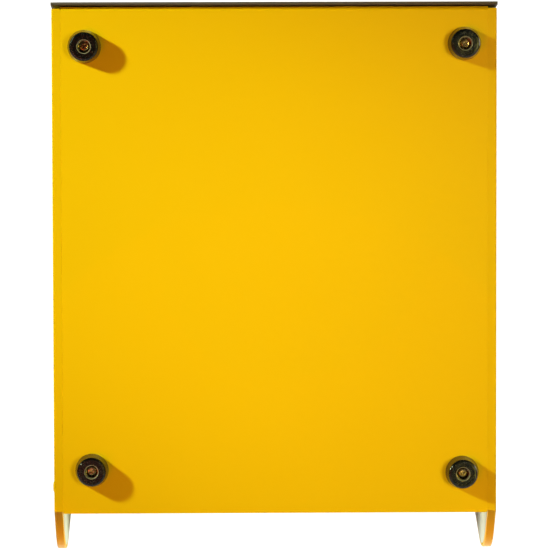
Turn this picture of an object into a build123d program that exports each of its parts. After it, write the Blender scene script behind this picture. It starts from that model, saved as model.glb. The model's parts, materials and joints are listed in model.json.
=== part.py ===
"""Wall letterbox: a yellow sheet-steel box with thick side cheeks, a dark lid that lifts
for posting, a front door that tilts down for emptying, a cam lock and four wall feet.

Axes: +Z is up, +Y points at the wall, -Y is the front, +X is the right side seen from the front.
The origin lies on the wall plane, behind the centre of the back panel.
"""

import math
import os

from build123d import *

# ---- Driving dimensions, in millimetres ----

BODY_WIDTH = 360.0
BACK_HEIGHT = 410.0
BODY_DEPTH = 150.0
FOOT_HEIGHT = 14.5  # gap between the back panel and the wall
SHEET = 1.2  # steel sheet of the body and the door
HALF_WIDTH = BODY_WIDTH / 2

# side cheeks: a pressed outer shell with a hemmed rim, closed by an inner liner
CHEEK_THICKNESS = 7.2
CHEEK_SKIN = 1.2
CHEEK_RIM = 3.0  # width of the hemmed rim
LINER = 1.0
INNER_HALF = HALF_WIDTH - CHEEK_THICKNESS
OUTER_EDGE_RADIUS = 0.9
INNER_EDGE_RADIUS = 1.0
SEAM_EDGE_RADIUS = 0.12

# cheek outline: (forward of the back face, above the back panel's lower edge)
LID_SLOPE = math.tan(math.radians(6))
BACK_CORNER_UP = 1.5
BELLY_CORNER = (51.5, -46.1)
FRONT_LOW_UP = -16.8
BELLY_RADIUS = 72.0
FRONT_LOW_RADIUS = 12.0
FRONT_TOP_RADIUS = 4.0

# lid
LID_THICKNESS = 2.5
LID_GAP = 2.4  # between the body's upper edges and the lid
LID_HALF_WIDTH = 180.4
LID_BACK_OVERHANG = 2.5
LID_HEM_RADIUS = LID_THICKNESS / 2  # the rounded rear edge
LID_FRONT = 162.0
LID_LIP = 17.0
LID_CORNER_RADIUS = 3.5
LID_HEM_BEVEL = 0.5

# rain lip: the back panel's upper edge leans forward under the lid
LIP_BEND_UP = 408.8
LIP_TIP = (2.4, 411.3)

# lid hinge
HINGE_FORWARD = 4.2
HINGE_UP = 404.5
HINGE_ROD_RADIUS = 1.75
RUNNING_CLEARANCE = 0.05
HINGE_STATIONS = (-140.0, 0.0, 140.0)
BRACKET_THICKNESS = 3.0
CLEVIS_GAP = 0.4
EAR_THICKNESS = 2.5
EAR_NOSE_RADIUS = 2.8

# door
DOOR_GAP = 1.0  # between the door and the cheeks
DOOR_FACE = 149.0  # forward of the back face
DOOR_LOW = -9.0
DOOR_HIGH = 348.0
DOOR_RETURN = 14.0  # depth of the door's folded edges
DOOR_EDGE_RADIUS = 2.2
DOOR_HALF = INNER_HALF - DOOR_GAP
PIVOT_FORWARD = 112.0
PIVOT_UP = 8.5
DOOR_OPENING = 80.0  # degrees, set by the length of the slot in the door's ears
EAR_RADIUS = 30.0
SLOT_RADIUS = 23.0
STOP_PIN_RADIUS = 2.5
SLOT_HALF_WIDTH = STOP_PIN_RADIUS + 0.15
PIVOT_RADIUS = 4.0
PIVOT_HEAD_RADIUS = 6.5
PIVOT_HEAD_HEIGHT = 6.2
BUSH_RADIUS = 5.5
BUSH_FLANGE_RADIUS = 8.0
BUSH_FLANGE = 0.9

# floor and front rail
FLOOR_UP = 1.0
FLOOR_FRONT = 142.0
FLOOR_NARROW_HALF = 161.0
FLOOR_WIDE_DEPTH = 80.0
BEND_RADIUS = 2.0
RAIL_LOW = 350.0
RAIL_HIGH = 392.3
RAIL_FLANGE_BACK = 120.0
RAIL_STRIKE = 131.5
RAIL_STRIKE_DROP = 11.0

# lock
LOCK_UP = 322.0
BARREL_RADIUS = 8.0
BARREL_BACK = 129.0
PLUG_RADIUS = 5.0
LOCK_FLANGE = 2.5
CAM_THICKNESS = 2.0
CAM_SQUARE = 7.0
CAM_LENGTH = 24.0
KEY_THICKNESS = 2.0
KEY_BLADE = 7.4
KEY_SLOT_CLEARANCE = 0.1
KEY_DEPTH = 19.0

# name plate
PLATE_UP = 262.0
PLATE_WIDTH = 98.0
PLATE_HEIGHT = 30.0
PLATE_DEPTH = 3.0
WINDOW_WIDTH = 74.0
WINDOW_HEIGHT = 20.0

# wall feet
FOOT_BASE_RADIUS = 13.5
FOOT_FACE_RADIUS = 11.5
FOOT_SOCKET_RADIUS = 5.3
FOOT_SOCKET_DEPTH = 6.0
FOOT_POCKET_RADIUS = 5.1
CUP_RADIUS = 5.0  # cup washer around the screw head
CUP_INNER_RADIUS = 4.4
CUP_HEIGHT = 3.5
CUP_EDGE_RADIUS = 0.28
FOOT_SHOULDER = 4.0  # rubber left under the washer
SCREW_RADIUS = 2.5
SCREW_HEAD_RADIUS = 4.3
SCREW_HEAD_HEIGHT = 3.0
WASHER = 1.0
SCREW_TIP = 8.0  # how far the screws reach into the box
NUT_FLATS = 8.0
NUT_HEIGHT = 4.0

# rivets
RIVET_RADIUS = 1.6
RIVET_HEAD = 1.1
RIVET_TAIL_RADIUS = 2.4
RIVET_HEAD_EDGE = 0.3
RIVET_TAIL_SHOULDER = 1.5
RIVET_TAIL = 2.2
RAIL_RIVETS = ((134.0, 362.0), (134.0, 381.0))  # (forward, above) on each side
GUARD_RIVET_FORWARD = 126.0
GUARD_RIVETS = (-120.0, -40.0, 40.0, 120.0)

# each foot's place on the back panel: (across, above the panel's lower edge)
FEET = {
    "top_right": (153.5, 379.4),
    "top_left": (-153.7, 381.3),
    "bottom_right": (149.1, 35.6),
    "bottom_left": (-152.1, 32.8),
}

# small sizes of the fittings
SCREW_CLEARANCE_RADIUS = 2.6
THREAD_CHAMFER = 0.7  # at the tips of screws and bolts
FOOT_BASE_BAND = 1.6
FOOT_RIM_RADIUS = 1.9
FOOT_MOUTH_RADIUS = 0.5
FOOT_BASE_ROUNDING = 0.6
SCREW_HEAD_ROUNDING = 1.9
CROSS_LENGTH = 5.2
CROSS_WIDTH = 1.3
CROSS_DEPTH = 2.0
CROSS_TAPER = 12.0
CROSS_TURN = 35.0
FLOOR_BACK_FLANGE = 12.0
FLOOR_FRONT_FLANGE = 15.0
DRAIN_ACROSS = 70.0
DRAIN_FORWARD = 40.0
DRAIN_RADIUS = 2.5
RAIL_TAB_BACK = 124.0
RAIL_TAB_MARGIN = 3.0
GUARD_FRONT = 136.0
GUARD_TOP_BEND = 117.0
GUARD_BACK = 48.0
GUARD_LOW_BEND = 336.0
GUARD_TIP = 318.0
GUARD_HALF = 171.0
BUMPER_ACROSS = 150.0
BUMPER_FORWARD = 140.0
BUMPER_RADIUS = 5.0
BUMPER_HEIGHT = 4.6
BUMPER_ROUNDING = 1.0
BUFFER_ACROSS = 120.0
BUFFER_UP = 344.2
BUFFER_RADIUS = 3.5
BUFFER_HEIGHT = 3.3
BRACKET_LOW = 382.0
BRACKET_SLANT = 4.0
BRACKET_FOOT = 16.0
BRACKET_FOOT_HEIGHT = 15.0
HINGE_ROD_OVERHANG = 7.0
LID_BEND_RADIUS = 4.0
EAR_HEEL = 14.0
EAR_FOOT_FRONT = 26.0
EAR_FOOT_BACK = 17.0
EAR_NOSE_END = 3.0
EAR_NOSE_TOP = 2.4
EAR_DIP_START = 5.0  # the dip clears the rain lip when the lid stands open
EAR_DIP_END = 7.2
EAR_DIP_TOP = 0.5
EAR_DIP_OUT = 9.5
CLEVIS_FOOT = 26.0
CLEVIS_FOOT_BACK = 18.0
CLEVIS_FOOT_FRONT = 42.0
STIFFENER_BACK = 92.0
STIFFENER_WIDTH = 22.0
STIFFENER_DEPTH = 6.5
STIFFENER_HALF = 150.0
SEAT_GAP = 0.15
EAR_BLEND = 14.0
EAR_LIFT = 3.0
DOOR_CORNER_RADIUS = 3.0
BUSH_LENGTH = 1.7
RIB_ACROSS = 95.0
RIB_DEPTH = 9.5
RIB_HALF = 9.0
RIB_HALF_FOOT = 19.0
RIB_BEND = 1.5
RIB_SHEET = 0.8
RIB_LOW = 55.0
RIB_HIGH = 300.0
PIVOT_LENGTH = 17.5
PIVOT_HEAD_ROUNDING = 4.0
SPACER_RADIUS = 7.0
END_FLOAT = 0.1
PIVOT_NUT_FLATS = 13.0
PIVOT_NUT_HEIGHT = 6.0
STOP_FLOAT = 0.3
STOP_HEAD_RADIUS = 4.2
PLATE_RIVET = 43.0
PLATE_CORNER_RADIUS = 3.0
PLATE_EDGE_RADIUS = 0.8
LEDGE = 2.5
CARD = 0.4
WINDOW = 1.2
LOCK_FLANGE_RADIUS = 10.0
LOCK_FLANGE_ROUNDING = 1.0
LOCK_NUT_FLATS = 20.0
LOCK_NUT_HEIGHT = 4.0
CAM_SCREW_RADIUS = 2.0
CAM_SCREW_DEPTH = 4.5
CAM_SCREW_HEAD = 2.4
CAM_SCREW_ROUNDING = 1.2
CAM_HUB_RADIUS = 8.0
CAM_HALF_WIDTH = 6.0
CAM_WASHER_RADIUS = 6.0
KEY_TIP_GAP = 0.3
KEY_NECK = 1.5
KEY_BOW_RADIUS = 11.0
KEY_HOLE_RADIUS = 2.2
KEY_HOLE_AHEAD = 18.0  # from the lock's face to the hole in the bow
KEY_CUTS = 5
KEY_CUT_START = 3.0
KEY_CUT_PITCH = 2.8
KEY_CUT_DEPTHS = (1.0, 1.6, 1.2)

os.makedirs("parts", exist_ok=True)


# ---- Placing helpers ----


def y_at(forward):
    """The Y of a point this far in front of the back panel's outer face."""
    return -(FOOT_HEIGHT + forward)


def z_at(up):
    """The Z of a point this far above the back panel's lower edge."""
    return up - BACK_HEIGHT / 2


def side_point(forward, up):
    """A point of a side view, in the YZ plane."""
    return (y_at(forward), z_at(up))


def body_top(forward):
    """Height of the body's sloping upper edge, this far forward."""
    return BACK_HEIGHT - LID_SLOPE * forward


def lid_underside(forward):
    """Height of the lid's lower face, this far forward."""
    return body_top(forward) + LID_GAP


def side_plane(x):
    """A plane facing +X, with its axes along +Y and +Z."""
    return Plane.YZ.offset(x)


def door_plane(forward):
    """A plane facing the front, with its axes along +X and +Z."""
    return Plane(origin=(0, y_at(forward), 0), x_dir=(1, 0, 0), z_dir=(0, -1, 0))


def wall_plane(forward):
    """A plane facing the wall, with its axes along -X and +Z."""
    return Plane(origin=(0, y_at(forward), 0), x_dir=(-1, 0, 0), z_dir=(0, 1, 0))


def block(low, high, mode=Mode.ADD):
    """A box between two corners given as (across, forward, up)."""
    x0, x1 = sorted((low[0], high[0]))
    y0, y1 = sorted((y_at(low[1]), y_at(high[1])))
    z0, z1 = sorted((z_at(low[2]), z_at(high[2])))
    with Locations(((x0 + x1) / 2, (y0 + y1) / 2, (z0 + z1) / 2)):
        Box(x1 - x0, y1 - y0, z1 - z0, mode=mode)


def rod(start, direction, radius, length, mode=Mode.ADD):
    """A round rod or hole from a start point given as (across, forward, up)."""
    origin = (start[0], y_at(start[1]), z_at(start[2]))
    with BuildSketch(Plane(origin=origin, z_dir=direction)) as disc:
        Circle(radius)
    extrude(disc.sketch, amount=length, mode=mode)


def bent_sheet(points, thickness, half_width, radius=BEND_RADIUS, side=Side.LEFT):
    """A folded sheet: its outer line in side view, thickened and run across the box."""
    with BuildSketch(side_plane(-half_width)) as section:
        with BuildLine():
            FilletPolyline(*[side_point(*p) for p in points], radius=radius)
            offset(amount=thickness, side=side)
        make_face()
    extrude(section.sketch, amount=2 * half_width)


def turned(start, direction, across, points, mode=Mode.ADD):
    """A turned piece: (radius, distance along the axis) points spun about its axis."""
    origin = Vector(start[0], y_at(start[1]), z_at(start[2]))
    along, radial = Vector(*direction), Vector(*across)
    with BuildSketch(Plane(origin=origin, x_dir=radial, z_dir=radial.cross(along))) as section:
        with BuildLine():
            Polyline(*points, close=True)
        make_face()
    revolve(section.sketch, axis=Axis(origin, along), mode=mode)


def hexagon_nut(start, direction, across, flats, height, bore):
    """A hexagon nut that stands on the start point and grows along the direction."""
    origin = (start[0], y_at(start[1]), z_at(start[2]))
    with BuildSketch(Plane(origin=origin, x_dir=across, z_dir=direction)) as section:
        RegularPolygon(radius=flats / 2, side_count=6, major_radius=False)
        Circle(bore, mode=Mode.SUBTRACT)
    extrude(section.sketch, amount=height)


def blind_rivet(start, direction, across, grip):
    """A pop rivet: a domed head at the start, a shank through the grip, a swollen tail."""
    radius = RIVET_RADIUS
    points = [
        (0, RIVET_HEAD),
        (radius, RIVET_HEAD),
        (2 * radius, RIVET_HEAD_EDGE),
        (2 * radius, 0),
        (radius, 0),
        (radius, -grip),
        (RIVET_TAIL_RADIUS, -grip),
        (RIVET_TAIL_RADIUS, -grip - RIVET_TAIL_SHOULDER),
        (radius, -grip - RIVET_TAIL),
        (0, -grip - RIVET_TAIL),
    ]
    turned(start, direction, across, points)


def save(part, name):
    """Label a finished sub-part and write it under its node name."""
    part.label = name
    export_step(part, f"parts/{name}.step")


TO_WALL = (0, 1, 0)
TO_FRONT = (0, -1, 0)
UPWARD = (0, 0, 1)
ACROSS = (1, 0, 0)


# ---- Side cheeks ----


def cheek_outline(x, inset=0.0):
    """The side view of a cheek: straight back, bellied lower edge, sloping top."""
    corners = [
        (0, BACK_HEIGHT),
        (0, BACK_CORNER_UP),
        BELLY_CORNER,
        (BODY_DEPTH, FRONT_LOW_UP),
        (BODY_DEPTH, body_top(BODY_DEPTH)),
    ]
    radii = {2: BELLY_RADIUS, 3: FRONT_LOW_RADIUS, 4: FRONT_TOP_RADIUS}
    with BuildSketch(side_plane(x)) as outline:
        with BuildLine():
            Polyline(*[side_point(*c) for c in corners], close=True)
        make_face()
        for index, radius in radii.items():
            place = Vector(*side_point(*corners[index]))
            corner = min(outline.vertices(), key=lambda v: (Vector(*v) - place).length)
            fillet(corner, radius)
        if inset:
            offset(amount=-inset, mode=Mode.REPLACE)
    return outline.sketch


def bellied(edge):
    """True for rim edges away from the straight back edge."""
    return edge.center().Y < y_at(SHEET)


for side_name, side in (("left", -1), ("right", 1)):
    with BuildPart() as side_shell:
        extrude(cheek_outline(side * INNER_HALF), amount=side * CHEEK_THICKNESS)
        outer_face = side_shell.faces().sort_by(Axis.X)[-1 if side > 0 else 0]
        fillet(outer_face.edges(), OUTER_EDGE_RADIUS)
        inner_face = side_shell.faces().sort_by(Axis.X)[0 if side > 0 else -1]
        fillet(inner_face.edges().filter_by(bellied), INNER_EDGE_RADIUS)
        seam_face = side_shell.faces().sort_by(Axis.X)[0 if side > 0 else -1]
        fillet(seam_face.edges().sort_by(Axis.Y)[-1], SEAM_EDGE_RADIUS)
        pocket = cheek_outline(side * INNER_HALF, inset=CHEEK_RIM)
        extrude(pocket, amount=side * (CHEEK_THICKNESS - CHEEK_SKIN), mode=Mode.SUBTRACT)
        rod((side * INNER_HALF, PIVOT_FORWARD, PIVOT_UP), (side, 0, 0), PIVOT_RADIUS,
            CHEEK_THICKNESS, Mode.SUBTRACT)
    save(side_shell.part, f"side_shell_{side_name}")

    with BuildPart() as side_liner:
        extrude(cheek_outline(side * INNER_HALF, inset=CHEEK_RIM), amount=side * LINER)
        inner_x = side * INNER_HALF
        rod((inner_x, PIVOT_FORWARD, PIVOT_UP), (side, 0, 0), PIVOT_RADIUS, LINER, Mode.SUBTRACT)
        rod((inner_x, PIVOT_FORWARD, PIVOT_UP + SLOT_RADIUS), (side, 0, 0), STOP_PIN_RADIUS,
            LINER, Mode.SUBTRACT)
        for forward, up in RAIL_RIVETS:
            rod((inner_x, forward, up), (side, 0, 0), RIVET_RADIUS, LINER, Mode.SUBTRACT)
    save(side_liner.part, f"side_liner_{side_name}")


# ---- Back panel and wall feet ----

with BuildPart() as back_panel:
    bent_sheet([(0, 0), (0, LIP_BEND_UP), LIP_TIP], SHEET, INNER_HALF)
    outer_face = back_panel.faces().filter_by(Axis.Y).sort_by(Axis.Y)[-1]
    fillet(outer_face.edges().filter_by(Axis.Z), SEAM_EDGE_RADIUS)
    for across, up in FEET.values():
        rod((across, 0, up), TO_FRONT, SCREW_CLEARANCE_RADIUS, SHEET, Mode.SUBTRACT)
save(back_panel.part, "back_panel")

for foot_name, (across, up) in FEET.items():
    with BuildPart() as foot:
        turned(
            (across, 0, up), TO_WALL, ACROSS,
            [
                (SCREW_CLEARANCE_RADIUS, 0),
                (FOOT_BASE_RADIUS, 0),
                (FOOT_BASE_RADIUS, FOOT_BASE_BAND),
                (FOOT_FACE_RADIUS, FOOT_HEIGHT),
                (FOOT_SOCKET_RADIUS, FOOT_HEIGHT),
                (FOOT_SOCKET_RADIUS, FOOT_HEIGHT - FOOT_SOCKET_DEPTH),
                (FOOT_POCKET_RADIUS, FOOT_HEIGHT - FOOT_SOCKET_DEPTH),
                (FOOT_POCKET_RADIUS, FOOT_SHOULDER),
                (SCREW_CLEARANCE_RADIUS, FOOT_SHOULDER),
            ],
        )
        rims = foot.faces().sort_by(Axis.Y)[-1].edges().sort_by(SortBy.RADIUS)
        fillet(rims[-1], FOOT_RIM_RADIUS)
        fillet(foot.faces().sort_by(Axis.Y)[-1].edges().sort_by(SortBy.RADIUS)[0],
               FOOT_MOUTH_RADIUS)
        base = foot.edges().filter_by(GeomType.CIRCLE).sort_by(SortBy.RADIUS)[-2:]
        fillet(base.sort_by(Axis.Y)[-1], FOOT_BASE_ROUNDING)
    save(foot.part, f"foot_{foot_name}")

washer_top = FOOT_SHOULDER + WASHER
with BuildPart() as foot_washers:
    for across, up in FEET.values():
        turned(
            (across, -FOOT_SHOULDER, up), TO_WALL, ACROSS,
            [
                (SCREW_CLEARANCE_RADIUS, 0),
                (CUP_RADIUS, 0),
                (CUP_RADIUS, CUP_HEIGHT),
                (CUP_INNER_RADIUS, CUP_HEIGHT),
                (CUP_INNER_RADIUS, WASHER),
                (SCREW_CLEARANCE_RADIUS, WASHER),
            ],
        )
    fillet(foot_washers.faces().filter_by(Axis.Y).group_by(Axis.Y)[-1].edges(), CUP_EDGE_RADIUS)
save(foot_washers.part, "foot_washers")

with BuildPart() as foot_screws:
    for across, up in FEET.values():
        head_at = (across, -washer_top, up)
        turned(
            head_at, TO_WALL, ACROSS,
            [
                (0, -washer_top - SCREW_TIP),
                (SCREW_RADIUS - THREAD_CHAMFER, -washer_top - SCREW_TIP),
                (SCREW_RADIUS, -washer_top - SCREW_TIP + THREAD_CHAMFER),
                (SCREW_RADIUS, 0),
                (SCREW_HEAD_RADIUS, 0),
                (SCREW_HEAD_RADIUS, SCREW_HEAD_HEIGHT),
                (0, SCREW_HEAD_HEIGHT),
            ],
        )
    tops = foot_screws.faces().filter_by(GeomType.PLANE).group_by(Axis.Y)[-1]
    fillet(tops.edges(), SCREW_HEAD_ROUNDING)
    for across, up in FEET.values():
        top_forward = -washer_top - SCREW_HEAD_HEIGHT
        with BuildSketch(wall_plane(top_forward)) as cross:
            with Locations((-across, z_at(up))):
                Rectangle(CROSS_LENGTH, CROSS_WIDTH, rotation=CROSS_TURN)
                Rectangle(CROSS_WIDTH, CROSS_LENGTH, rotation=CROSS_TURN)
        extrude(cross.sketch, amount=-CROSS_DEPTH, taper=CROSS_TAPER, mode=Mode.SUBTRACT)
save(foot_screws.part, "foot_screws")

with BuildPart() as foot_nuts:
    for across, up in FEET.values():
        hexagon_nut((across, SHEET, up), TO_FRONT, ACROSS, NUT_FLATS, NUT_HEIGHT, SCREW_RADIUS)
save(foot_nuts.part, "foot_nuts")


# ---- Floor, front rail and letter guard ----

with BuildPart() as floor_panel:
    bent_sheet(
        [
            (SHEET, FLOOR_UP + FLOOR_BACK_FLANGE),
            (SHEET, FLOOR_UP),
            (FLOOR_FRONT, FLOOR_UP),
            (FLOOR_FRONT, FLOOR_UP + FLOOR_FRONT_FLANGE),
        ],
        SHEET, FLOOR_NARROW_HALF, side=Side.RIGHT,
    )
    for side in (-1, 1):
        block(
            (side * FLOOR_NARROW_HALF, SHEET + BEND_RADIUS, FLOOR_UP),
            (side * INNER_HALF, FLOOR_WIDE_DEPTH, FLOOR_UP + SHEET),
        )
        rod((side * DRAIN_ACROSS, DRAIN_FORWARD, FLOOR_UP), UPWARD, DRAIN_RADIUS, SHEET,
            Mode.SUBTRACT)
save(floor_panel.part, "floor_panel")

with BuildPart() as front_rail:
    bent_sheet(
        [
            (RAIL_FLANGE_BACK, RAIL_HIGH),
            (DOOR_FACE, RAIL_HIGH),
            (DOOR_FACE, RAIL_LOW),
            (RAIL_STRIKE, RAIL_LOW),
            (RAIL_STRIKE, RAIL_LOW - RAIL_STRIKE_DROP),
        ],
        SHEET, INNER_HALF,
    )
    for side in (-1, 1):
        tab_inner = side * (INNER_HALF - SHEET)
        block(
            (tab_inner, RAIL_TAB_BACK, RAIL_LOW + RAIL_TAB_MARGIN),
            (side * INNER_HALF, DOOR_FACE - SHEET, RAIL_HIGH - SHEET / 2),
        )
        for forward, up in RAIL_RIVETS:
            rod((tab_inner, forward, up), (side, 0, 0), RIVET_RADIUS, SHEET, Mode.SUBTRACT)
    for across in GUARD_RIVETS:
        rod((across, GUARD_RIVET_FORWARD, RAIL_HIGH - SHEET), UPWARD, RIVET_RADIUS, SHEET,
            Mode.SUBTRACT)
save(front_rail.part, "front_rail")

with BuildPart() as letter_guard:
    bent_sheet(
        [
            (GUARD_FRONT, RAIL_HIGH - SHEET),
            (GUARD_TOP_BEND, RAIL_HIGH - SHEET),
            (GUARD_BACK, GUARD_LOW_BEND),
            (GUARD_BACK, GUARD_TIP),
        ],
        SHEET, GUARD_HALF, side=Side.RIGHT,
    )
    for across in GUARD_RIVETS:
        rod((across, GUARD_RIVET_FORWARD, RAIL_HIGH - 2 * SHEET), UPWARD, RIVET_RADIUS, SHEET,
            Mode.SUBTRACT)
save(letter_guard.part, "letter_guard")

with BuildPart() as rail_rivets:
    for side in (-1, 1):
        for forward, up in RAIL_RIVETS:
            start = (side * (INNER_HALF - SHEET), forward, up)
            blind_rivet(start, (-side, 0, 0), UPWARD, SHEET + LINER)
save(rail_rivets.part, "rail_rivets")

with BuildPart() as guard_rivets:
    for across in GUARD_RIVETS:
        blind_rivet((across, GUARD_RIVET_FORWARD, RAIL_HIGH), UPWARD, ACROSS, 2 * SHEET)
save(guard_rivets.part, "guard_rivets")

with BuildPart() as lid_bumpers:
    for side in (-1, 1):
        rod((side * BUMPER_ACROSS, BUMPER_FORWARD, RAIL_HIGH), UPWARD, BUMPER_RADIUS,
            BUMPER_HEIGHT)
    fillet(lid_bumpers.edges().group_by(Axis.Z)[-1], BUMPER_ROUNDING)
save(lid_bumpers.part, "lid_bumpers")

with BuildPart() as door_buffers:
    for side in (-1, 1):
        rod((side * BUFFER_ACROSS, RAIL_STRIKE, BUFFER_UP), TO_FRONT, BUFFER_RADIUS,
            BUFFER_HEIGHT)
save(door_buffers.part, "door_buffers")


# ---- Lid hinge ----

with BuildPart() as hinge_brackets:
    for station in HINGE_STATIONS:
        with BuildSketch(side_plane(station - BRACKET_THICKNESS / 2)) as web:
            with BuildLine():
                Polyline(
                    side_point(SHEET, BRACKET_LOW),
                    side_point(SHEET, HINGE_UP),
                    side_point(HINGE_FORWARD + EAR_NOSE_RADIUS, HINGE_UP),
                    side_point(HINGE_FORWARD + EAR_NOSE_RADIUS, BRACKET_LOW + BRACKET_SLANT),
                    close=True,
                )
            make_face()
            with Locations(side_point(HINGE_FORWARD, HINGE_UP)):
                Circle(EAR_NOSE_RADIUS)
                Circle(HINGE_ROD_RADIUS, mode=Mode.SUBTRACT)
        extrude(web.sketch, amount=BRACKET_THICKNESS)
        block(
            (station - BRACKET_FOOT / 2, SHEET, BRACKET_LOW),
            (station + BRACKET_FOOT / 2, 2 * SHEET, BRACKET_LOW + BRACKET_FOOT_HEIGHT),
        )
save(hinge_brackets.part, "hinge_brackets")

with BuildPart() as hinge_rod:
    half = HINGE_STATIONS[-1] + HINGE_ROD_OVERHANG
    rod((-half, HINGE_FORWARD, HINGE_UP), ACROSS, HINGE_ROD_RADIUS, 2 * half)
save(hinge_rod.part, "hinge_rod")


# ---- Lid ----


def under_lid(ahead, below=0.0):
    """A side-view point this far ahead of the hinge and this far below the lid."""
    forward = HINGE_FORWARD + ahead
    return side_point(forward, lid_underside(forward) - below)


def beside_hinge(ahead, above):
    """A side-view point placed from the hinge axis."""
    return side_point(HINGE_FORWARD + ahead, HINGE_UP + above)


with BuildPart() as lid_plate:
    lid_rise = LID_THICKNESS / math.cos(math.atan(LID_SLOPE))
    lid_front_top = lid_underside(LID_FRONT) + lid_rise
    bent_sheet(
        [
            (-LID_BACK_OVERHANG, lid_underside(-LID_BACK_OVERHANG) + lid_rise),
            (LID_FRONT, lid_front_top),
            (LID_FRONT, lid_front_top - LID_LIP),
        ],
        LID_THICKNESS, LID_HALF_WIDTH, radius=LID_BEND_RADIUS,
    )
    hem_up = lid_underside(-LID_BACK_OVERHANG) + lid_rise - LID_HEM_RADIUS
    turned(
        (-LID_HALF_WIDTH, -LID_BACK_OVERHANG, hem_up), ACROSS, UPWARD,
        [
            (0, 0),
            (LID_HEM_RADIUS - LID_HEM_BEVEL, 0),
            (LID_HEM_RADIUS, LID_HEM_BEVEL),
            (LID_HEM_RADIUS, 2 * LID_HALF_WIDTH - LID_HEM_BEVEL),
            (LID_HEM_RADIUS - LID_HEM_BEVEL, 2 * LID_HALF_WIDTH),
            (0, 2 * LID_HALF_WIDTH),
        ],
    )
    lip_corners = lid_plate.faces().sort_by(Axis.Z)[0].edges().filter_by(Axis.Y)
    fillet(lip_corners, LID_CORNER_RADIUS)
save(lid_plate.part, "lid_plate")

with BuildPart() as lid_clevises:
    for station in HINGE_STATIONS:
        for side in (-1, 1):
            near = station + side * (BRACKET_THICKNESS / 2 + CLEVIS_GAP)
            with BuildSketch(side_plane(near)) as ear:
                with BuildLine():
                    Polyline(
                        beside_hinge(0, -EAR_NOSE_RADIUS),
                        beside_hinge(EAR_HEEL, -EAR_NOSE_RADIUS),
                        under_lid(EAR_FOOT_FRONT),
                        under_lid(EAR_FOOT_BACK),
                        beside_hinge(EAR_DIP_OUT, EAR_NOSE_TOP),
                        beside_hinge(EAR_DIP_END, EAR_DIP_TOP),
                        beside_hinge(EAR_DIP_START, EAR_DIP_TOP),
                        beside_hinge(EAR_NOSE_END, EAR_NOSE_TOP),
                        beside_hinge(0, EAR_NOSE_TOP),
                        close=True,
                    )
                make_face()
                with Locations(beside_hinge(0, 0)):
                    Circle(EAR_NOSE_RADIUS)
                    Circle(HINGE_ROD_RADIUS + RUNNING_CLEARANCE, mode=Mode.SUBTRACT)
            extrude(ear.sketch, amount=side * EAR_THICKNESS)
        with BuildSketch(side_plane(station - CLEVIS_FOOT / 2)) as foot_plate:
            with BuildLine():
                Polyline(
                    under_lid(CLEVIS_FOOT_BACK),
                    under_lid(CLEVIS_FOOT_FRONT),
                    under_lid(CLEVIS_FOOT_FRONT, EAR_THICKNESS),
                    under_lid(CLEVIS_FOOT_BACK, EAR_THICKNESS),
                    close=True,
                )
            make_face()
        extrude(foot_plate.sketch, amount=CLEVIS_FOOT)
save(lid_clevises.part, "lid_clevises")

with BuildPart() as lid_stiffener:
    back, front = STIFFENER_BACK, STIFFENER_BACK + STIFFENER_WIDTH
    bent_sheet(
        [
            (back, lid_underside(back) - SEAT_GAP),
            (back, lid_underside(back) - STIFFENER_DEPTH),
            (front, lid_underside(front) - STIFFENER_DEPTH),
            (front, lid_underside(front) - SEAT_GAP),
        ],
        SHEET, STIFFENER_HALF, side=Side.RIGHT,
    )
save(lid_stiffener.part, "lid_stiffener")


# ---- Front door ----


def around_pivot(degrees):
    """A point on the middle line of the curved slot, in side view."""
    angle = math.radians(degrees)
    return (
        y_at(PIVOT_FORWARD) + SLOT_RADIUS * math.cos(angle),
        z_at(PIVOT_UP) + SLOT_RADIUS * math.sin(angle),
    )


def door_ear(side):
    """The ear on a folded door edge: pivot hole and the curved slot that limits the tilt."""
    pivot = side_point(PIVOT_FORWARD, PIVOT_UP)
    with BuildSketch(side_plane(side * DOOR_HALF)) as ear:
        with Locations(pivot):
            Circle(EAR_RADIUS)
        with BuildLine():
            Polyline(
                side_point(PIVOT_FORWARD, PIVOT_UP + EAR_RADIUS),
                side_point(DOOR_FACE - DOOR_RETURN / 2, PIVOT_UP + EAR_RADIUS + EAR_BLEND),
                side_point(DOOR_FACE - DOOR_RETURN / 2, DOOR_LOW + EAR_LIFT),
                side_point(PIVOT_FORWARD, DOOR_LOW + EAR_LIFT),
                close=True,
            )
        make_face()
        with Locations(side_point(PIVOT_FORWARD, DOOR_LOW + EAR_LIFT - EAR_RADIUS)):
            Rectangle(4 * EAR_RADIUS, 2 * EAR_RADIUS, mode=Mode.SUBTRACT)
        with Locations(pivot):
            Circle(BUSH_RADIUS, mode=Mode.SUBTRACT)
        far_end = 90 - DOOR_OPENING
        with BuildLine():
            CenterArc(pivot, SLOT_RADIUS + SLOT_HALF_WIDTH, far_end, DOOR_OPENING)
            CenterArc(pivot, SLOT_RADIUS - SLOT_HALF_WIDTH, far_end, DOOR_OPENING)
            CenterArc(around_pivot(90), SLOT_HALF_WIDTH, 90, 180)
            CenterArc(around_pivot(far_end), SLOT_HALF_WIDTH, far_end + 180, 180)
        make_face(mode=Mode.SUBTRACT)
    return ear.sketch


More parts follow.
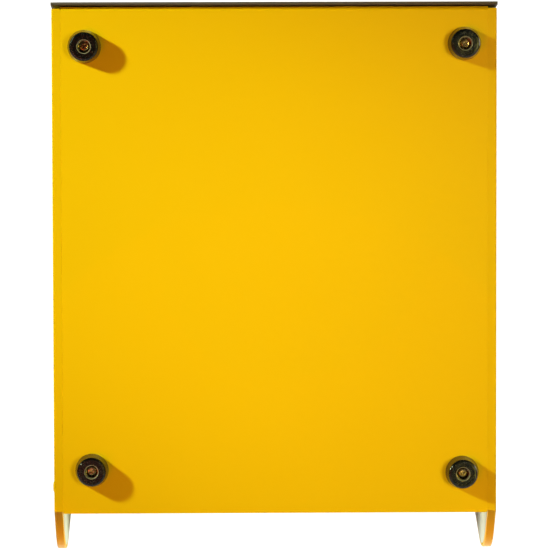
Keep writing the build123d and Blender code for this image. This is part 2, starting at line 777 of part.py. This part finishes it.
with BuildPart() as front_door:
    block(
        (-DOOR_HALF, DOOR_FACE - DOOR_RETURN, DOOR_LOW),
        (DOOR_HALF, DOOR_FACE, DOOR_HIGH),
    )
    fillet(front_door.edges().filter_by(Axis.Y), DOOR_CORNER_RADIUS)
    fillet(front_door.faces().sort_by(Axis.Y)[0].edges(), DOOR_EDGE_RADIUS)
    offset(amount=-SHEET, openings=front_door.faces().sort_by(Axis.Y)[-1])
    for side in (-1, 1):
        extrude(door_ear(side), amount=-side * SHEET)
    rod((0, DOOR_FACE - SHEET, LOCK_UP), TO_FRONT, BARREL_RADIUS, SHEET, Mode.SUBTRACT)
    for side in (-1, 1):
        rod((side * PLATE_RIVET, DOOR_FACE - SHEET, PLATE_UP), TO_FRONT, RIVET_RADIUS, SHEET,
            Mode.SUBTRACT)
save(front_door.part, "front_door")

with BuildPart() as door_bushes:
    bore = PIVOT_RADIUS + RUNNING_CLEARANCE
    for side in (-1, 1):
        turned(
            (side * DOOR_HALF, PIVOT_FORWARD, PIVOT_UP), (side, 0, 0), UPWARD,
            [
                (bore, -BUSH_LENGTH),
                (BUSH_RADIUS, -BUSH_LENGTH),
                (BUSH_RADIUS, 0),
                (BUSH_FLANGE_RADIUS, 0),
                (BUSH_FLANGE_RADIUS, BUSH_FLANGE),
                (bore, BUSH_FLANGE),
            ],
        )
save(door_bushes.part, "door_bushes")

with BuildPart() as door_stiffeners:
    inner_face_y = y_at(DOOR_FACE - SHEET)
    crest_y = y_at(DOOR_FACE - SHEET - RIB_DEPTH)
    for side in (-1, 1):
        middle = side * RIB_ACROSS
        with BuildSketch(Plane.XY.offset(z_at(RIB_LOW))) as rib:
            with BuildLine():
                FilletPolyline(
                    (middle - RIB_HALF_FOOT, inner_face_y),
                    (middle - RIB_HALF, inner_face_y),
                    (middle - RIB_HALF, crest_y),
                    (middle + RIB_HALF, crest_y),
                    (middle + RIB_HALF, inner_face_y),
                    (middle + RIB_HALF_FOOT, inner_face_y),
                    radius=RIB_BEND,
                )
                offset(amount=RIB_SHEET, side=Side.LEFT)
            make_face()
        extrude(rib.sketch, amount=RIB_HIGH - RIB_LOW)
save(door_stiffeners.part, "door_stiffeners")


# ---- Door pivots and tilt stops ----

with BuildPart() as pivot_bolts:
    for side in (-1, 1):
        turned(
            (side * HALF_WIDTH, PIVOT_FORWARD, PIVOT_UP), (side, 0, 0), UPWARD,
            [
                (0, -PIVOT_LENGTH),
                (PIVOT_RADIUS - THREAD_CHAMFER, -PIVOT_LENGTH),
                (PIVOT_RADIUS, -PIVOT_LENGTH + THREAD_CHAMFER),
                (PIVOT_RADIUS, 0),
                (PIVOT_HEAD_RADIUS, 0),
                (PIVOT_HEAD_RADIUS, PIVOT_HEAD_HEIGHT),
                (0, PIVOT_HEAD_HEIGHT),
            ],
        )
        crown = pivot_bolts.faces().sort_by(Axis.X)[-1 if side > 0 else 0]
        fillet(crown.edges(), PIVOT_HEAD_ROUNDING)
save(pivot_bolts.part, "pivot_bolts")

with BuildPart() as pivot_spacers:
    for side in (-1, 1):
        turned(
            (side * (INNER_HALF + LINER), PIVOT_FORWARD, PIVOT_UP), (side, 0, 0), UPWARD,
            [
                (PIVOT_RADIUS, 0),
                (SPACER_RADIUS, 0),
                (SPACER_RADIUS, CHEEK_THICKNESS - CHEEK_SKIN - LINER),
                (PIVOT_RADIUS, CHEEK_THICKNESS - CHEEK_SKIN - LINER),
            ],
        )
save(pivot_spacers.part, "pivot_spacers")

bush_end = DOOR_HALF - BUSH_LENGTH - END_FLOAT
with BuildPart() as pivot_washers:
    for side in (-1, 1):
        turned(
            (side * bush_end, PIVOT_FORWARD, PIVOT_UP), (-side, 0, 0), UPWARD,
            [
                (PIVOT_RADIUS, 0),
                (BUSH_FLANGE_RADIUS, 0),
                (BUSH_FLANGE_RADIUS, WASHER),
                (PIVOT_RADIUS, WASHER),
            ],
        )
save(pivot_washers.part, "pivot_washers")

with BuildPart() as pivot_nuts:
    for side in (-1, 1):
        hexagon_nut((side * (bush_end - WASHER), PIVOT_FORWARD, PIVOT_UP), (-side, 0, 0), UPWARD,
                    PIVOT_NUT_FLATS, PIVOT_NUT_HEIGHT, PIVOT_RADIUS)
save(pivot_nuts.part, "pivot_nuts")

with BuildPart() as door_stop_pins:
    pin_length = LINER + DOOR_GAP + SHEET + STOP_FLOAT
    for side in (-1, 1):
        turned(
            (side * (INNER_HALF + LINER), PIVOT_FORWARD, PIVOT_UP + SLOT_RADIUS),
            (-side, 0, 0), UPWARD,
            [
                (0, 0),
                (STOP_PIN_RADIUS, 0),
                (STOP_PIN_RADIUS, pin_length),
                (STOP_HEAD_RADIUS, pin_length),
                (STOP_HEAD_RADIUS, pin_length + WASHER),
                (0, pin_length + WASHER),
            ],
        )
save(door_stop_pins.part, "door_stop_pins")


# ---- Name plate ----

with BuildPart() as name_plate_frame:
    block(
        (-PLATE_WIDTH / 2, DOOR_FACE, PLATE_UP - PLATE_HEIGHT / 2),
        (PLATE_WIDTH / 2, DOOR_FACE + PLATE_DEPTH, PLATE_UP + PLATE_HEIGHT / 2),
    )
    fillet(name_plate_frame.edges().filter_by(Axis.Y), PLATE_CORNER_RADIUS)
    fillet(name_plate_frame.faces().sort_by(Axis.Y)[0].edges(), PLATE_EDGE_RADIUS)
    block(
        (-WINDOW_WIDTH / 2, DOOR_FACE, PLATE_UP - WINDOW_HEIGHT / 2),
        (WINDOW_WIDTH / 2, DOOR_FACE + CARD + WINDOW, PLATE_UP + WINDOW_HEIGHT / 2),
        Mode.SUBTRACT,
    )
    block(
        (-WINDOW_WIDTH / 2 + LEDGE, DOOR_FACE, PLATE_UP - WINDOW_HEIGHT / 2 + LEDGE),
        (WINDOW_WIDTH / 2 - LEDGE, DOOR_FACE + PLATE_DEPTH, PLATE_UP + WINDOW_HEIGHT / 2 - LEDGE),
        Mode.SUBTRACT,
    )
    for side in (-1, 1):
        rod((side * PLATE_RIVET, DOOR_FACE, PLATE_UP), TO_FRONT, RIVET_RADIUS, PLATE_DEPTH,
            Mode.SUBTRACT)
save(name_plate_frame.part, "name_plate_frame")

with BuildPart() as name_card:
    block(
        (-WINDOW_WIDTH / 2, DOOR_FACE, PLATE_UP - WINDOW_HEIGHT / 2),
        (WINDOW_WIDTH / 2, DOOR_FACE + CARD, PLATE_UP + WINDOW_HEIGHT / 2),
    )
save(name_card.part, "name_card")

with BuildPart() as name_window:
    block(
        (-WINDOW_WIDTH / 2, DOOR_FACE + CARD, PLATE_UP - WINDOW_HEIGHT / 2),
        (WINDOW_WIDTH / 2, DOOR_FACE + CARD + WINDOW, PLATE_UP + WINDOW_HEIGHT / 2),
    )
save(name_window.part, "name_window")

with BuildPart() as name_plate_rivets:
    for side in (-1, 1):
        start = (side * PLATE_RIVET, DOOR_FACE + PLATE_DEPTH, PLATE_UP)
        blind_rivet(start, TO_FRONT, ACROSS, PLATE_DEPTH + SHEET)
save(name_plate_rivets.part, "name_plate_rivets")


# ---- Cam lock and key ----

barrel_length = DOOR_FACE - BARREL_BACK
plug_front = DOOR_FACE + LOCK_FLANGE

with BuildPart() as lock_housing:
    bore = PLUG_RADIUS + RUNNING_CLEARANCE
    turned(
        (0, DOOR_FACE, LOCK_UP), TO_FRONT, ACROSS,
        [
            (bore, -barrel_length),
            (BARREL_RADIUS, -barrel_length),
            (BARREL_RADIUS, 0),
            (LOCK_FLANGE_RADIUS, 0),
            (LOCK_FLANGE_RADIUS, LOCK_FLANGE),
            (bore, LOCK_FLANGE),
        ],
    )
    flange_edges = lock_housing.faces().sort_by(Axis.Y)[0].edges().sort_by(SortBy.RADIUS)
    fillet(flange_edges[-1], LOCK_FLANGE_ROUNDING)
save(lock_housing.part, "lock_housing")

with BuildPart() as lock_nut:
    hexagon_nut((0, DOOR_FACE - SHEET, LOCK_UP), TO_WALL, ACROSS, LOCK_NUT_FLATS,
                LOCK_NUT_HEIGHT, BARREL_RADIUS)
save(lock_nut.part, "lock_nut")

with BuildPart() as lock_plug:
    rod((0, BARREL_BACK, LOCK_UP), TO_FRONT, PLUG_RADIUS, plug_front - BARREL_BACK)
    half_square = CAM_SQUARE / 2
    block(
        (-half_square, BARREL_BACK - CAM_THICKNESS, LOCK_UP - half_square),
        (half_square, BARREL_BACK, LOCK_UP + half_square),
    )
    slot_half_width = KEY_THICKNESS / 2 + KEY_SLOT_CLEARANCE
    slot_half_height = KEY_BLADE / 2 + KEY_SLOT_CLEARANCE
    block(
        (-slot_half_width, plug_front - KEY_DEPTH, LOCK_UP - slot_half_height),
        (slot_half_width, plug_front, LOCK_UP + slot_half_height),
        Mode.SUBTRACT,
    )
    rod((0, BARREL_BACK - CAM_THICKNESS, LOCK_UP), TO_FRONT, CAM_SCREW_RADIUS,
        CAM_SCREW_DEPTH, Mode.SUBTRACT)
save(lock_plug.part, "lock_plug")

with BuildPart() as lock_cam:
    with BuildSketch(door_plane(BARREL_BACK - CAM_THICKNESS)) as cam:
        with Locations((0, z_at(LOCK_UP))):
            Circle(CAM_HUB_RADIUS)
        with Locations((-(CAM_LENGTH - CAM_HALF_WIDTH) / 2, z_at(LOCK_UP))):
            SlotCenterToCenter(CAM_LENGTH - CAM_HALF_WIDTH, 2 * CAM_HALF_WIDTH)
        with Locations((0, z_at(LOCK_UP))):
            Rectangle(CAM_SQUARE, CAM_SQUARE, mode=Mode.SUBTRACT)
    extrude(amount=CAM_THICKNESS)
save(lock_cam.part, "lock_cam")

cam_back = BARREL_BACK - CAM_THICKNESS
with BuildPart() as cam_washer:
    turned(
        (0, cam_back, LOCK_UP), TO_WALL, ACROSS,
        [
            (CAM_SCREW_RADIUS, 0),
            (CAM_WASHER_RADIUS, 0),
            (CAM_WASHER_RADIUS, WASHER),
            (CAM_SCREW_RADIUS, WASHER),
        ],
    )
save(cam_washer.part, "cam_washer")

with BuildPart() as cam_screw:
    turned(
        (0, cam_back - WASHER, LOCK_UP), TO_WALL, ACROSS,
        [
            (0, -WASHER - CAM_SCREW_DEPTH),
            (CAM_SCREW_RADIUS, -WASHER - CAM_SCREW_DEPTH),
            (CAM_SCREW_RADIUS, 0),
            (2 * CAM_SCREW_RADIUS, 0),
            (2 * CAM_SCREW_RADIUS, CAM_SCREW_HEAD),
            (0, CAM_SCREW_HEAD),
        ],
    )
    fillet(cam_screw.faces().sort_by(Axis.Y)[-1].edges(), CAM_SCREW_ROUNDING)
save(cam_screw.part, "cam_screw")

with BuildPart() as key:
    tip = plug_front - KEY_DEPTH + KEY_TIP_GAP
    with BuildSketch(side_plane(-KEY_THICKNESS / 2)) as outline:
        with Locations(side_point(plug_front + KEY_NECK + KEY_BOW_RADIUS, LOCK_UP)):
            Circle(KEY_BOW_RADIUS)
        blade_length = plug_front + KEY_NECK + KEY_BOW_RADIUS - tip
        with Locations(side_point(tip + blade_length / 2, LOCK_UP)):
            Rectangle(blade_length, KEY_BLADE)
        for step in range(KEY_CUTS):
            cut_forward = tip + KEY_CUT_START + step * KEY_CUT_PITCH
            depth = KEY_CUT_DEPTHS[step % len(KEY_CUT_DEPTHS)]
            with BuildLine():
                Polyline(
                    side_point(cut_forward - depth, LOCK_UP - KEY_BLADE / 2),
                    side_point(cut_forward, LOCK_UP - KEY_BLADE / 2 + depth),
                    side_point(cut_forward + depth, LOCK_UP - KEY_BLADE / 2),
                    close=True,
                )
            make_face(mode=Mode.SUBTRACT)
        with Locations(side_point(plug_front + KEY_HOLE_AHEAD, LOCK_UP)):
            Circle(KEY_HOLE_RADIUS, mode=Mode.SUBTRACT)
    extrude(amount=KEY_THICKNESS)
save(key.part, "key")
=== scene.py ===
"""Looks of the wall mailbox: yellow powder coat, dark lid, glossy rubber feet, plated fittings.

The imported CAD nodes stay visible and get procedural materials.
Metres and watts; +Z is up, +Y points at the wall, -Y is the front.
"""

import json
import math

import bpy
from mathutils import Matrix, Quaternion, Vector

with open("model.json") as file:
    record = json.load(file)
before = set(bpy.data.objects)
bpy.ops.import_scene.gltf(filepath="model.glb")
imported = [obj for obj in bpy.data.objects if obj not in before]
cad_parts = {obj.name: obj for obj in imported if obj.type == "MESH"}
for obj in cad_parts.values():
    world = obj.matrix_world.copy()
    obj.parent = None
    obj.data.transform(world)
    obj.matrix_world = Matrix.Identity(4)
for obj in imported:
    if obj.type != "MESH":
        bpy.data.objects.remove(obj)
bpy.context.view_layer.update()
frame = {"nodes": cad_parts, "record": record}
NODES = frame["nodes"]

MM = 0.001
FOOT_WIDTH = 27.0 * MM
SOCKET_RADIUS = 5.3 * MM

WHITE = (1.0, 1.0, 1.0)
BOX_MIDDLE = (0.5, 0.5, 0.5)
BEVEL_SAMPLES = 4
# The sockets of a Mix node that is set to colour.
MIX_FACTOR = 0
MIX_FIRST = 6
MIX_SECOND = 7
MIX_RESULT = 2
# Geometry's pointiness on a flat face and on a sharp outer edge.
FLAT_POINTINESS = 0.51
EDGE_POINTINESS = 0.58


# ---- Node helpers ----


class Shader:
    """A material's node tree with short ways to add and join nodes."""

    def __init__(self, name):
        self.material = bpy.data.materials.new(name)
        self.material.use_nodes = True
        self.tree = self.material.node_tree
        self.tree.nodes.clear()
        output = self.tree.nodes.new("ShaderNodeOutputMaterial")
        self.surface = self.tree.nodes.new("ShaderNodeBsdfPrincipled")
        self.join(self.surface.outputs["BSDF"], output.inputs["Surface"])
        coordinates = self.tree.nodes.new("ShaderNodeTexCoord")
        self.place = coordinates.outputs["Object"]

    def join(self, source, target):
        """Links an output to an input."""
        self.tree.links.new(source, target)

    def put(self, target, value):
        """Sets a socket to a number or colour, or joins it to another node's output."""
        if isinstance(value, bpy.types.NodeSocket):
            self.join(value, target)
        elif hasattr(value, "__len__") and len(value) == 3 and target.type == "RGBA":
            target.default_value = (*value, 1.0)
        else:
            target.default_value = value

    def set(self, **values):
        """Sets inputs of the main surface; underscores stand for spaces."""
        for name, value in values.items():
            self.put(self.surface.inputs[name.replace("_", " ")], value)

    def noise(self, scale, detail=3.0, roughness=0.5, stretch=(1.0, 1.0, 1.0)):
        """Soft noise from 0 to 1, with this many features to the metre."""
        mapping = self.tree.nodes.new("ShaderNodeMapping")
        mapping.inputs["Scale"].default_value = stretch
        self.join(self.place, mapping.inputs["Vector"])
        node = self.tree.nodes.new("ShaderNodeTexNoise")
        node.inputs["Scale"].default_value = scale
        node.inputs["Detail"].default_value = detail
        node.inputs["Roughness"].default_value = roughness
        self.join(mapping.outputs["Vector"], node.inputs["Vector"])
        return node.outputs["Fac"]

    def cells(self, scale):
        """Distance to the nearest of scattered points."""
        node = self.tree.nodes.new("ShaderNodeTexVoronoi")
        node.inputs["Scale"].default_value = scale
        self.join(self.place, node.inputs["Vector"])
        return node.outputs["Distance"]

    def ramp(self, value, low, high, start=0.0, end=1.0):
        """Maps low..high of a value to start..end, and clamps it."""
        node = self.tree.nodes.new("ShaderNodeMapRange")
        self.put(node.inputs["Value"], value)
        limits = {"From Min": low, "From Max": high, "To Min": start, "To Max": end}
        for name, number in limits.items():
            node.inputs[name].default_value = number
        return node.outputs["Result"]

    def maths(self, operation, first, second):
        """A product, maximum or other operation on two values."""
        node = self.tree.nodes.new("ShaderNodeMath")
        node.operation = operation
        self.put(node.inputs[0], first)
        self.put(node.inputs[1], second)
        return node.outputs["Value"]

    def mix(self, factor, first, second):
        """Blends two colours."""
        node = self.tree.nodes.new("ShaderNodeMix")
        node.data_type = "RGBA"
        self.put(node.inputs[MIX_FACTOR], factor)
        self.put(node.inputs[MIX_FIRST], first)
        self.put(node.inputs[MIX_SECOND], second)
        return node.outputs[MIX_RESULT]

    def radius_about_y(self, box_place, width):
        """Distance from the middle axis of a round piece this wide, from its box coordinates."""
        centred = self.tree.nodes.new("ShaderNodeVectorMath")
        centred.operation = "SUBTRACT"
        self.join(box_place, centred.inputs[0])
        centred.inputs[1].default_value = BOX_MIDDLE
        flat = self.tree.nodes.new("ShaderNodeVectorMath")
        flat.operation = "MULTIPLY"
        self.join(centred.outputs["Vector"], flat.inputs[0])
        flat.inputs[1].default_value = (width, 0.0, width)
        length = self.tree.nodes.new("ShaderNodeVectorMath")
        length.operation = "LENGTH"
        self.join(flat.outputs["Vector"], length.inputs[0])
        return length.outputs["Value"]

    def edges(self):
        """1 on outer edges, 0 on flats."""
        node = self.tree.nodes.new("ShaderNodeNewGeometry")
        return self.ramp(node.outputs["Pointiness"], FLAT_POINTINESS, EDGE_POINTINESS)

    def relief(self, heights, rounding=0.35 * MM):
        """Bump from (height, depth in metres) pairs, over slightly rounded edges."""
        bevel = self.tree.nodes.new("ShaderNodeBevel")
        bevel.samples = BEVEL_SAMPLES
        bevel.inputs["Radius"].default_value = rounding
        normal = bevel.outputs["Normal"]
        for height, depth in heights:
            bump = self.tree.nodes.new("ShaderNodeBump")
            bump.inputs["Distance"].default_value = depth
            bump.inputs["Strength"].default_value = 1.0
            self.put(bump.inputs["Height"], height)
            self.join(normal, bump.inputs["Normal"])
            normal = bump.outputs["Normal"]
        self.set(Normal=normal)


# ---- Materials ----


# Wear lightens a coat's edges: how much shows, and what it does to the colour.
WEAR = 0.25
WORN_GAIN = 1.12
WORN_LIFT = 0.01


def powder_coat(name, colour, deep, roughness):
    """Powder-coated steel: orange peel, faint cloudiness, small nibs and lighter worn edges."""
    coat = Shader(name)
    cloud = coat.noise(5.0, detail=3.0)
    fine = coat.noise(420.0, detail=2.0)
    tone = coat.mix(coat.ramp(cloud, 0.3, 0.7), colour, deep)
    worn = tuple(min(1.0, part * WORN_GAIN + WORN_LIFT) for part in colour)
    smears = coat.noise(55.0, detail=5.0)
    coat.set(
        Base_Color=coat.mix(coat.maths("MULTIPLY", coat.edges(), WEAR), tone, worn),
        Roughness=coat.ramp(smears, 0.25, 0.75, roughness - 0.05, roughness + 0.07),
        Specular_IOR_Level=0.15,
    )
    nibs = coat.ramp(coat.cells(160.0), 0.0, 0.10, 1.0, 0.0)
    coat.relief([
        (coat.noise(30.0, detail=1.0), 0.05 * MM),
        (fine, 0.012 * MM),
        (nibs, 0.02 * MM),
    ], rounding=0.1 * MM)
    return coat.material


def moulded_rubber(name):
    """Glossy black rubber with mould grain and a little dust in the pores, as a Shader."""
    rubber = Shader(name)
    dust = rubber.ramp(rubber.noise(260.0, detail=6.0, roughness=0.7), 0.60, 0.80)
    rubber.set(
        Base_Color=rubber.mix(dust, (0.003, 0.006, 0.009), (0.022, 0.032, 0.038)),
        Roughness=rubber.ramp(rubber.noise(320.0, detail=4.0), 0.3, 0.7, 0.06, 0.2),
        Specular_IOR_Level=0.4,
        Sheen_Weight=0.16,
        Sheen_Roughness=0.35,
        Sheen_Tint=(1.0, 0.93, 0.75),
    )
    rubber.relief([
        (rubber.noise(700.0, detail=3.0), 0.20 * MM),
        (rubber.noise(1800.0, detail=2.0), 0.05 * MM),
    ])
    return rubber


# A pale ring painted round each foot's socket mouth: a painted highlight, standing in for the
# light caught by the mouth's rounded edge.
RIM_HIGHLIGHT_STRENGTH = 0.85
RIM_HIGHLIGHT_COLOUR = (0.40, 0.40, 0.34)


def foot_rubber_painted_highlight(name):
    """The wall feet's rubber: scattered pale specks, and a pale ring round the socket mouth that
    is a painted highlight.
    """
    rubber = moulded_rubber(name)
    box = rubber.tree.nodes.new("ShaderNodeTexCoord").outputs["Generated"]
    from_axis = rubber.radius_about_y(box, FOOT_WIDTH)
    past_inner = rubber.ramp(from_axis, SOCKET_RADIUS - 0.35 * MM, SOCKET_RADIUS - 0.15 * MM)
    short_of_outer = rubber.ramp(
        from_axis, SOCKET_RADIUS + 0.35 * MM, SOCKET_RADIUS + 0.65 * MM, 1.0, 0.0
    )
    rim = rubber.maths("MULTIPLY", past_inner, short_of_outer)
    specks = rubber.ramp(rubber.cells(900.0), 0.10, 0.22, 0.5, 0.0)
    # The pale colour mixed in here is the painted highlight ring, together with the scattered
    # pale specks.
    pale = rubber.maths("MAXIMUM", rubber.maths("MULTIPLY", rim, RIM_HIGHLIGHT_STRENGTH), specks)
    black = rubber.surface.inputs["Base Color"].links[0].from_socket
    rubber.set(Base_Color=rubber.mix(pale, black, RIM_HIGHLIGHT_COLOUR))
    return rubber.material


def plated_steel(name, colour, stain, rough):
    """Zinc-plated steel: fine turning marks and blotches from the plating bath."""
    metal = Shader(name)
    blotch = metal.noise(190.0, detail=4.0, roughness=0.6)
    metal.set(
        Base_Color=metal.mix(metal.ramp(blotch, 0.35, 0.7), colour, stain),
        Metallic=1.0,
        Roughness=metal.ramp(metal.noise(700.0, detail=3.0), 0.3, 0.7, rough - 0.08, rough + 0.1),
    )
    metal.relief([(metal.noise(900.0, detail=3.0, stretch=(1.0, 1.0, 6.0)), 0.02 * MM)])
    return metal.material


def polished_chrome(name):
    """Bright lock metal with hairline scratches and a little haze."""
    chrome = Shader(name)
    scratches = chrome.noise(600.0, detail=6.0, roughness=0.8, stretch=(1.0, 1.0, 14.0))
    chrome.set(
        Base_Color=chrome.mix(chrome.noise(90.0), (0.74, 0.74, 0.76), (0.62, 0.62, 0.64)),
        Metallic=1.0,
        Roughness=chrome.ramp(scratches, 0.4, 0.7, 0.10, 0.26),
    )
    chrome.relief([(scratches, 0.008 * MM)])
    return chrome.material


def moulded_plastic(name, colour, dull, rough):
    """Injection-moulded plastic with a fine spark-eroded grain."""
    plastic = Shader(name)
    flow = plastic.ramp(plastic.noise(60.0, detail=4.0), 0.3, 0.7)
    plastic.set(
        Base_Color=plastic.mix(flow, colour, dull),
        Roughness=plastic.ramp(plastic.noise(400.0), 0.3, 0.7, rough - 0.06, rough + 0.08),
    )
    plastic.relief([(plastic.noise(2200.0, detail=2.0), 0.02 * MM)])
    return plastic.material


def clear_plastic(name):
    """The name plate's window: clear, with faint scuffs."""
    window = Shader(name)
    scuffs = window.noise(500.0, detail=6.0, roughness=0.8, stretch=(1.0, 1.0, 8.0))
    window.set(
        Base_Color=(0.95, 0.97, 0.97),
        Roughness=window.ramp(scuffs, 0.5, 0.75, 0.04, 0.22),
        Transmission_Weight=1.0,
        IOR=1.49,
    )
    window.relief([(scuffs, 0.004 * MM)])
    return window.material


def paper_card(name):
    """Blank off-white card with paper fibres."""
    card = Shader(name)
    fibres = card.noise(1300.0, detail=6.0, roughness=0.7, stretch=(1.0, 1.0, 3.0))
    card.set(
        Base_Color=card.mix(fibres, (0.86, 0.85, 0.80), (0.78, 0.76, 0.70)),
        Roughness=0.85,
        Specular_IOR_Level=0.2,
    )
    card.relief([(fibres, 0.02 * MM)])
    return card.material


YELLOW = (0.80, 0.555, 0.0012)
YELLOW_DEEP = (0.785, 0.535, 0.001)
PALE = (0.78, 0.90, 0.76)
PALE_DEEP = (0.73, 0.84, 0.70)
ANTHRACITE = (0.145, 0.137, 0.155)
ANTHRACITE_DEEP = (0.122, 0.115, 0.132)
BLACK_PLASTIC = (0.018, 0.018, 0.02)
BLACK_PLASTIC_DULL = (0.03, 0.03, 0.032)

materials = {
    "yellow_paint": powder_coat("yellow_powder_coat", YELLOW, YELLOW_DEEP, roughness=0.33),
    "liner_paint": powder_coat("pale_liner_coat", PALE, PALE_DEEP, roughness=0.42),
    "lid_paint": powder_coat("anthracite_coat", ANTHRACITE, ANTHRACITE_DEEP, roughness=0.38),
    "black_rubber": moulded_rubber("black_rubber").material,
    "yellow_zinc": plated_steel("yellow_zinc", (0.50, 0.42, 0.26), (0.14, 0.11, 0.06), 0.22),
    "zinc_steel": plated_steel("bright_zinc", (0.60, 0.62, 0.64), (0.46, 0.47, 0.48), 0.30),
    "lock_chrome": polished_chrome("lock_chrome"),
    "nickel_brass": plated_steel("nickel_brass", (0.66, 0.63, 0.56), (0.55, 0.51, 0.42), 0.22),
    "nylon": moulded_plastic("natural_nylon", (0.74, 0.72, 0.66), (0.68, 0.65, 0.58), 0.48),
    "frame_plastic": moulded_plastic("black_plastic", BLACK_PLASTIC, BLACK_PLASTIC_DULL, 0.3),
    "card": paper_card("blank_card"),
    "clear_plastic": clear_plastic("clear_window"),
}
foot_material = foot_rubber_painted_highlight("foot_rubber_painted_highlight")


def dress_cad_nodes():
    """Gives every CAD node the material of its slot; the wall feet get their own rubber, with a
    painted highlight round each socket.
    """
    for subpart in frame["record"]["subparts"]:
        name = subpart["node"]
        is_foot = name.startswith(("foot_top", "foot_bottom"))
        material = foot_material if is_foot else materials[subpart["material_slot"]]
        NODES[name].data.materials.clear()
        NODES[name].data.materials.append(material)


dress_cad_nodes()
# The clear window lets the lamps reach the card behind it.
NODES["name_window"].visible_shadow = False


# ---- Studio ----

FLOOR_Z = -0.62
FLOOR_RADIUS = 2.4
FLOOR_SIDES = 96


def make_floor():
    """A plain pale round floor, below the hanging box."""
    turns = [2 * math.pi * step / FLOOR_SIDES for step in range(FLOOR_SIDES)]
    rim = [
        (FLOOR_RADIUS * math.cos(turn), FLOOR_RADIUS * math.sin(turn), FLOOR_Z)
        for turn in turns
    ]
    mesh = bpy.data.meshes.new("floor")
    mesh.from_pydata(rim, [], [tuple(range(FLOOR_SIDES))])
    floor = bpy.data.objects.new("floor", mesh)
    bpy.context.scene.collection.objects.link(floor)
    pale = Shader("pale_floor")
    pale.set(
        Base_Color=(0.92, 0.92, 0.92),
        Roughness=0.9,
        Emission_Color=(1.0, 0.98, 0.95),
        Emission_Strength=0.5,
    )
    mesh.materials.append(pale.material)
    # It is there to be seen, and lends the box no light of its own.
    floor.visible_diffuse = False


make_floor()


def add_light(name, lamp, place, target, power, colour):
    """Sets up a lamp's light and turns it to its target."""
    lamp.energy = power
    lamp.color = colour
    light = bpy.data.objects.new(name, lamp)
    light.location = place
    facing = Vector(target) - Vector(place)
    light.rotation_euler = facing.to_track_quat("-Z", "Y").to_euler()
    bpy.context.scene.collection.objects.link(light)


def area_light(name, place, target, size, power, colour=WHITE):
    """A square soft box that faces a target."""
    lamp = bpy.data.lights.new(name, "AREA")
    lamp.size = size
    add_light(name, lamp, place, target, power, colour)


def spot_light(name, place, target, radius, cone, power, colour):
    """A lamp with a small round face and a beam, degrees wide, that fades towards its edge."""
    lamp = bpy.data.lights.new(name, "SPOT")
    lamp.shadow_soft_size = radius
    lamp.spot_size = math.radians(cone)
    lamp.spot_blend = 1.0
    add_light(name, lamp, place, target, power, colour)


BOX_CENTRE = (0.0, 0.0, 0.0)
# Just past the back's two upright edges, so that the beams fade across it.
KEY_SIDE = (0.27, 0.0, 0.11)
FAR_SIDE = (-0.27, 0.0, -0.09)
CHEEK_X = 0.175
CHEEK_Y = -0.06
CHEEK_Z = -0.24


def light_the_back():
    """A hard key from one side, and soft fills that warm the shadows it leaves."""
    spot_light("key", place=(1.86, 1.05, 0.97), target=KEY_SIDE,
               radius=0.09, cone=21.0, power=219.0, colour=(0.87, 1.0, 0.6))
    spot_light("right_fill", place=(-1.0, 1.8, -0.1), target=FAR_SIDE,
               radius=0.5, cone=19.0, power=288.0, colour=(1.0, 0.85, 0.15))
    spot_light("warm_fill", place=(0.7, 2.0, -0.5), target=BOX_CENTRE,
               radius=0.6, cone=36.0, power=72.0, colour=(1.0, 0.13, 0.01))
    area_light("glint", place=(-0.8, 2.3, 0.2), target=BOX_CENTRE,
               size=0.15, power=2.2, colour=(0.95, 0.97, 1.0))


def light_the_front():
    """One large soft box."""
    area_light("front_fill", place=(0.7, -2.6, 1.2), target=BOX_CENTRE, size=2.0, power=62.0)


def light_the_cheek(side):
    """Two narrow beams on a cheek's lower end: on its inner face, and on its rim."""
    cheek = (side * CHEEK_X, CHEEK_Y, CHEEK_Z)
    spot_light(f"cheek_{side}", place=(side * -0.15, -0.3, -0.45), target=cheek,
               radius=0.03, cone=15.0, power=9.5, colour=(1.0, 0.97, 0.94))
    spot_light(f"rim_{side}", place=(side * CHEEK_X, 0.5, -0.55), target=cheek,
               radius=0.03, cone=10.0, power=9.0, colour=(1.0, 0.39, 0.02))


light_the_back()
light_the_front()
for side in (-1, 1):
    light_the_cheek(side)
area_light("side_fill", place=(-1.8, -0.6, 0.3), target=BOX_CENTRE, size=0.8, power=16.0)

WORLD_LIGHT = 0.04
WORLD_TINT = (1.0, 0.97, 0.94)


def make_world():
    """A white room: pure white to look at, dim as a light."""
    world = bpy.data.worlds.new("studio")
    world.use_nodes = True
    tree = world.node_tree
    background = tree.nodes["Background"]
    path = tree.nodes.new("ShaderNodeLightPath")
    colour = tree.nodes.new("ShaderNodeMix")
    colour.data_type = "RGBA"
    colour.inputs[MIX_FIRST].default_value = (*[WORLD_LIGHT * part for part in WORLD_TINT], 1.0)
    colour.inputs[MIX_SECOND].default_value = (*WHITE, 1.0)
    tree.links.new(path.outputs["Is Camera Ray"], colour.inputs[MIX_FACTOR])
    tree.links.new(colour.outputs[MIX_RESULT], background.inputs["Color"])
    bpy.context.scene.world = world


make_world()
bpy.context.scene.view_settings.view_transform = "Standard"
bpy.context.scene.view_settings.look = "Medium High Contrast"


LENS = 230.0
SENSOR_WIDTH = 36.0
FARTHEST_SEEN = 50.0
CAMERA_PLACE = (0.039, 2.8305, 0.165)
CAMERA_TARGET = (-0.0001, -0.0145, -0.0108)
CAMERA_ROLL = math.radians(-0.14)


def make_camera():
    """A long lens behind the box, a little above its middle, looking at the wall side."""
    data = bpy.data.cameras.new("camera")
    data.lens = LENS
    data.sensor_width = SENSOR_WIDTH
    data.clip_end = FARTHEST_SEEN
    camera = bpy.data.objects.new("camera", data)
    camera.location = CAMERA_PLACE
    aim = Vector(CAMERA_TARGET) - camera.location
    roll = Quaternion((0.0, 0.0, 1.0), CAMERA_ROLL)
    camera.rotation_euler = (aim.to_track_quat("-Z", "Y") @ roll).to_euler()
    bpy.context.scene.collection.objects.link(camera)
    bpy.context.scene.camera = camera


make_camera()
